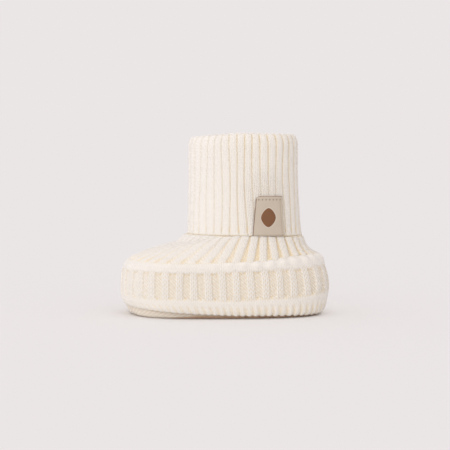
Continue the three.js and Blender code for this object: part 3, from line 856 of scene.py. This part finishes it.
def makeCuff():
    # Each rib is an arch, pushed out from the strip; the fold carries the ribs over the top and down the leg.
    look = cuffLook
    profile = cuffProfile()
    height, inset = profile[:, 0], profile[:, 1]
    hem, top = last["hemHeight"], last["legTop"]
    rows = np.arange(len(height))
    foldStart = np.argmax(height >= top)
    foldEnd = foldStart + look["foldRows"] - 1
    onLeg = (rows > foldEnd) & (rows < foldEnd + look["legRows"] + 1)
    # the leg inside goes from the fold's inset to the ankle's, as the foot below needs
    inset = np.where(onLeg, inset + last["labelRoom"] * smooth(60 - height, 16), inset)
    levels = cuffLevel(np.minimum(height, top), inset)
    rise = np.maximum(height - top, 0)
    droop = last["collarDroop"] * rise / (last["collarHeight"] - top)
    for key, lower in (("toe", droop), ("middle", 0), ("heel", droop / 4)):
        levels[key] = levels[key] + rise - lower
    share = np.arange(look["columns"]) / look["columns"]
    z = height[:, None]
    outer = (rows <= foldStart + 12)[:, None]
    skirt = (rows < foldStart)[:, None]
    # ribs wander a little, and spread where the label holds them
    wander = look["wander"] * (wave(share * 3 + z / 90) + 0.6 * wave(share * 8 - z / 50))
    fromLabel = (share - labelCentre) / look["pullWidth"]
    pull = look["labelPull"] * fromLabel * hump(fromLabel / 1.3) * hump(z - 57, 13)
    place, rib = ribPlace(share[None, :] + 0 * z)
    base = roundOutlines(levels, share[None, :] + (wander + pull) * outer / last["ribs"])
    normal = normalsOf(base, tube=True)
    # the hem is lifted where the label goes round it
    beside = np.abs(share - labelCentre) * labelRound - labelPlan["hemWidth"] / 2
    base[..., 2] += look["labelLift"] * smooth(1.0 - beside, 1.2) * smooth(48 - z, 7) * skirt
    side = np.abs(place)
    arch = (1 - (2 * side).clip(0, 0.999) ** look["archSide"]) ** look["archTop"]
    # depth of the valleys along the strip
    onSkirt = smooth(z - hem - look["hemRoll"], 1.2)
    depth = (look["ribDepth"] + look["hemDepth"] * hump(z - hem - 3, 1.4)) * onSkirt
    folding = ((rows >= foldStart) & (rows <= foldEnd))[:, None]
    foldDepth = mix(look["foldDepth"], look["ribDepth"], 0.5 * (rows < foldStart + 6)[:, None])
    depth = np.where(folding, foldDepth, depth)
    depth = np.where((rows > foldEnd)[:, None], look["legDepth"] * onLeg[:, None], depth)
    nearLabel = hump(fromLabel / 1.05) * hump(np.maximum(z - 60, 0) / 9) * (z < top) * outer
    toeSide = smooth((0.28 - np.minimum(share, 1 - share)) / 0.16)[None, :]
    depth = depth * (1 - 0.6 * nearLabel) * (1 - 0.6 * toeSide)
    groove = look["groove"] * (0.5 + 0.5 * crest(side * 6)) * onSkirt * outer
    lumps = look["lumps"] * wave(share * 23 + z / 11) * outer * onSkirt
    relief = depth * (arch - 1) - groove + lumps
    points = base + normal * relief[..., None]
    # painted shade: the valleys and the hem's lower edge take the valley colour, less on the toe side; and the
    # knit opens above the label
    deep = (1 - arch) ** 1.5
    paintedShade = np.clip(deep * np.minimum(depth, 1.2) * (1.7 - 0.5 * toeSide) - 0.1 * nearLabel, 0, 1)
    atHem = smooth(hem + 0.9 - z, 0.7) * (rows < 12)[:, None]
    marks = {
        "paintedShade": np.clip(paintedShade + 0.45 * atHem, 0, 1),
        "purl": smooth(side - look["crownShare"] / 2, 0.05),
        "stretch": 0.2 - 0.1 * toeSide + 0.85 * nearLabel + 0.2 * deep,
    }
    wale = waleOf(place, rib, look["crownShare"], look["crownWales"], look["valleyWales"])
    course = lengthUp(base) / look["coursePitch"]
    waleTotal = (look["crownWales"] + look["valleyWales"]) * last["ribs"]
    piece = ringPiece("knitCuff", points, wale, course, marks, waleTotal)
    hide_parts("cuff")
    return piece


# sole and insole

soleLook = dict(
    columns=480,
    springUp=2.8,  # how much higher the sole's top lies at the toe
    thickness=3.2, insole=1.5, insoleLift=0.3, insoleEdge=0.4,
    toeSquare=0.5,  # more power in the outline at the floor's level
    girth=270,
    wallWale=1.1,  # sizes of a stitch on the wall, underneath and on the caps
    wallCourse=0.7, flatWale=1.3, flatCourse=0.9, capPitch=1.2,
    # painted shade: in the seam's stitches, and on the wall under the upper's turned edge
    seamDepth=0.22, seamStitches=190, seamShade=0.4, rollShade=0.08,
    stretch=0.8,
)


def makePad(name, insets, heights, spacing, node, wallRows, isSole):
    # Level rings joined from the underside's middle, round the edge, to the top's middle. The wall lies between
    # two of the rings, with a seam along each: painted shade at its stitches, and on the sole the seam is drawn
    # in too.
    look = soleLook
    toeIn, sideIn, heelIn = np.array(insets, float).T
    toe, middle, heel = np.array(heights, float).T
    toeRound = last["toeRound"] + look["toeSquare"] * smooth(2.5 - toe, 2)
    knots, at, levels = walkLevels(footLevel(toeIn, sideIn, heelIn, toe, middle, heel, toeRound), spacing)
    share = np.arange(look["columns"]) / look["columns"]
    points = roundOutlines(levels, share)
    start, end = (knots[i] for i in wallRows)
    onWall = smooth(at - start, 0.8) * smooth(end - at, 0.8)
    girth = share * look["girth"]
    wall = onWall[:, None] > 0.5
    wale = np.where(wall, girth[None, :] / look["wallWale"], points[..., 0] / look["flatWale"])
    course = np.where(wall, at[:, None] / look["wallCourse"], points[..., 1] / look["flatCourse"])
    seam = (hump(at - start, 0.35) + hump(at - end, 0.35))[:, None]
    dots = 0.5 + 0.5 * crest(share * look["seamStitches"])
    paintedShade = look["seamShade"] * seam * dots
    if isSole:
        points = points - normalsOf(points) * (look["seamDepth"] * seam * (0.5 + 0.5 * dots))[..., None]
        # painted shade: the underside takes the shade brown, and so does the edge near the floor from the ball
        # of the foot to the heel
        shadeUpTo = 0.3 + 1.5 * smooth(34 - points[..., 0], 26)
        low = knots[wallRows[0] + 1]
        paintedShade = paintedShade + smooth(shadeUpTo - points[..., 2], 0.5)
        # painted shade on the wall, more towards the upper's turned edge above it
        paintedShade = paintedShade + look["rollShade"] * smooth((at - low) / (end - low))[:, None]
    marks = {"paintedShade": np.clip(paintedShade, 0, 1), "purl": onWall[:, None], "stretch": look["stretch"]}
    piece = ringPiece(name, points, wale, course, marks, girth[-1] / look["wallWale"], look["capPitch"])
    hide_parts(node)
    return piece


def makeSole():
    # A flat underside, a rounded rim and a wall that rises to the upper's turned edge, each ring given by how
    # far in and how high it lies at toe, side and heel.
    thick, up = soleLook["thickness"], soleLook["springUp"]
    insets = [(44, 22, 40), (12, 9, 9), (8.0, 6.2, 7.2), (6.0, 4.4, 5.7), (4.4, 4.0, 5.3), (2.1, 3.7, 5.1),
              (5.7, 4.5, 7.2), (5.9, 4.6, 7.6), (17.7, 12, 15.3), (44, 22, 40)]
    heights = [(0, 0, 0), (0, 0, 0), (0, 0, 0), (0.5, 0.38, 0.36), (1.6, 0.95, 0.7), (5.5, 1.72, 1.0),
               (5.5, 1.76, 1.08), (thick + up, thick, thick), (thick, thick, thick), (thick, thick, thick)]
    return makePad("knitSole", insets, heights, 0.6, "sole", (3, 5), True)


def makeInsole():
    # A thin pad on the sole with a rounded upper edge, given as the sole is.
    low = soleLook["thickness"] + soleLook["insoleLift"]
    high = low + soleLook["insole"]
    up, edge = soleLook["springUp"], high - soleLook["insoleEdge"]
    insets = [(44, 22, 40), (17.4, 11.7, 15), (6.0, 4.4, 7.6), (6.0, 4.4, 7.6), (6.6, 5, 8.2),
              (18, 12.4, 15.6), (44, 22, 40)]
    heights = [(low, low, low), (low, low, low), (low + up, low, low), (edge + up, edge, edge),
               (high + up, high, high), (high, high, high), (high, high, high)]
    return makePad("paddedInsole", insets, heights, 0.8, "insole", (2, 3), False)


# the label and its plain mark

def labelShares():
    # The label's heel edge as a share of the way round the cuff, and the length of that way.
    trial = np.linspace(0, 0.5, 4001)
    ring = roundOutlines(cuffLevel([last["hemHeight"]], [0.0]), trial)[0]
    heel = trial[np.argmax(ring[:, 0] < last["anklePlace"] - labelPlan["heelEdge"])]
    return heel, 2 * np.linalg.norm(np.diff(ring, axis=0), axis=-1).sum()


def labelWidth(down, height):
    # From the top's width to the hem's, evenly over the height.
    return mix(labelPlan["hemWidth"], labelPlan["topWidth"], np.clip(1 - down / height, 0, 1))


def labelSurface(across, down, offset):
    # across runs 0 to 1 from the toe edge to the heel edge and down is the distance from the label's top edge.
    # The strip lies on the cuff, turns under the hem on a small radius, and comes up behind it.
    wall = last["cuffWall"]
    front = labelPlan["height"] - cuffLook["labelLift"]
    low = last["hemHeight"] + cuffLook["labelLift"]
    turn = np.pi * wall / 2
    onFront = down <= front
    angle = np.clip((down - front) / turn, 0, 1) * np.pi
    behind = np.clip(down - front - turn, 0, None)
    height = np.where(onFront, low + front - down, low - (wall * 0.16 + offset) * np.sin(angle) + behind)
    out = np.where(onFront, offset, offset - (wall + 2 * offset) * (1 - np.cos(angle)) / 2)
    share = labelHeel - labelWidth(down, front) * (1 - across) / labelRound
    levels = cuffLevel(height[:, 0], 0)
    base = roundOutlines(levels, share)
    step = roundOutlines(levels, share + 1e-3) - roundOutlines(levels, share - 1e-3)
    step[..., 2] = 0
    step = step / np.linalg.norm(step, axis=-1, keepdims=True)
    normal = np.stack([step[..., 1], -step[..., 0], 0 * step[..., 0]], -1)
    return base + normal * out[..., None]


def makeLabel():
    # Two faces of one strip joined round their edge; holes, rim and the mark's ring are pressed into the front.
    plan, mark = labelPlan, markLook
    rows, columns = plan["rows"], plan["columns"]
    length = plan["height"] + plan["underHem"] + plan["tuck"]
    down = (np.linspace(0, 1, rows) * length)[:, None]
    # the toe-side top corner is cut round
    radius = plan["cornerRadius"]
    inCorner = np.clip(radius - down, 0, radius)
    cut = (radius - np.sqrt(radius ** 2 - inCorner ** 2)) / plan["topWidth"]
    across = mix(cut, 1, np.linspace(0, 1, columns)[None, :])
    width = labelWidth(down, plan["height"])
    fromToe, fromHeel = across * width, (1 - across) * width
    front = labelSurface(across, down, plan["room"] + plan["thickness"])
    back = labelSurface(across, down, plan["room"])
    # holes of the stitching along the top and the heel side
    topHoles = 1.5 + np.arange(plan["topHoles"]) * (plan["topWidth"] - 2.6) / (plan["topHoles"] - 1)
    sideHoles = 2.7 + np.arange(plan["sideHoles"]) * plan["sideHolePitch"]
    downTop, inSide = down - plan["topHoleDown"], fromHeel - plan["sideHoleIn"]
    holes = [hump(np.hypot(fromToe - hole, downTop), plan["topHoleSize"]) for hole in topHoles]
    holes += [plan["sideHoleShare"] * hump(np.hypot(inSide, down - hole), plan["sideHoleSize"])
              for hole in sideHoles]
    holes = np.max(holes, axis=0)
    rim = smooth(1 - np.minimum(np.minimum(fromToe, fromHeel), down) / plan["rim"])
    markX = np.abs(fromToe - width * mark["across"]) / mark["halfWide"]
    markY = np.abs(down - mark["down"]) / mark["halfTall"]
    fromMark = (markX ** mark["round"] + markY ** mark["round"]) ** (1 / mark["round"])
    ring = hump(fromMark - 1.05, 0.09)
    pressed = plan["holeDepth"] * holes + plan["rimDepth"] * rim ** 2 + plan["ringDepth"] * ring
    outward = front - back
    outward = outward / np.linalg.norm(outward, axis=-1, keepdims=True)
    front = front - outward * pressed[..., None]
    # what the leather reads, on the front and on the back; the holes take painted shade
    marks = {
        "edge": [smooth((0.5 - np.minimum(fromToe, down + 0.1)) / 0.35), 0.25 + 0.75 * smooth(1.5 - fromToe)],
        "hole": [holes, 0 * holes],
        "pale": [0.55 * smooth(1.16 - fromMark, 0.12), 0 * holes],
    }
    index = np.arange(rows * columns).reshape(rows, columns)
    quads = lambda g: np.stack([g[:-1, :-1], g[1:, :-1], g[1:, 1:], g[:-1, 1:]], -1).reshape(-1, 4)
    edgeLoop = np.concatenate([index[0, :-1], index[:-1, -1], index[-1, :0:-1], index[:0:-1, 0]])
    otherLoop = edgeLoop + rows * columns
    walls = np.stack([edgeLoop, np.roll(edgeLoop, -1), np.roll(otherLoop, -1), otherLoop], -1)
    faces = np.vstack([quads(index), quads(index + rows * columns)[:, ::-1], walls])
    points = np.vstack([front.reshape(-1, 3), back.reshape(-1, 3)])
    piece = finishMesh("sewnLabel", points, faces, None, marks)
    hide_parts("label")
    return piece


def makeMark():
    # A plain rounded lozenge pressed onto the label: rings of a superellipse, crowned towards its middle.
    look = markLook
    rings, spokes = 18, 96
    radius = np.concatenate([np.linspace(0.06, 1, rings), [1.0]])[:, None]
    share = (np.arange(spokes) / spokes)[None, :]
    ringPlace = lambda value: radius * np.sign(value) * np.abs(value) ** (2 / look["round"])
    x, y = ringPlace(crest(share)) * look["halfWide"], ringPlace(wave(share)) * look["halfTall"]
    rise = look["rise"] * np.sqrt(np.clip(1 - radius ** 6, 0, 1))
    rise[-1] = -look["sink"]
    down = look["down"] - y
    across = look["across"] + x / labelWidth(down, labelPlan["height"])
    outer = labelPlan["room"] + labelPlan["thickness"]
    onLabel = lambda offset: labelSurface(across.reshape(-1, 1), down.reshape(-1, 1), offset)
    flat, above = (onLabel(offset).reshape(rings + 1, spokes, 3) for offset in (outer, outer + 1))
    points = flat + (above - flat) * rise[..., None]
    index = np.arange((rings + 1) * spokes).reshape(-1, spokes)
    middle = (rings + 1) * spokes
    vertices = np.vstack([points.reshape(-1, 3), points[0].mean(0), points[-1].mean(0)])
    faces = np.vstack([
        ringQuads(index[:-1], index[1:], inwards=True),
        capQuads(index[0], middle, True),
        capQuads(index[-1], middle + 1, False),
    ])
    piece = finishMesh("plainMark", vertices, faces)
    return piece


shadeFloor(setStudio(), makeFloor())
print("studio ready")

makeStitchGroup()
makeFuzzGroup()
creamKnit = makeKnit("creamKnit", yarn["cream"], yarn["valley"], yarn["gap"])
soleKnit = makeKnit("soleKnit", yarn["soleCream"], yarn["soleShade"], yarn["soleGapShade"])
print("materials ready")

labelHeel, labelRound = labelShares()
labelCentre = labelHeel - labelPlan["hemWidth"] / 2 / labelRound

pieces = [makeUpper(), makeCuff(), makeSole(), makeInsole(), makeLabel(), makeMark()]
for piece, material in zip(pieces, (creamKnit, creamKnit, soleKnit, soleKnit, makeLeather(), makeBrown())):
    piece.data.materials.append(material)
    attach(piece, "root")
    print(piece.name + ":", len(piece.data.polygons) * 2, "triangles")

print("pieces:", len(pieces))
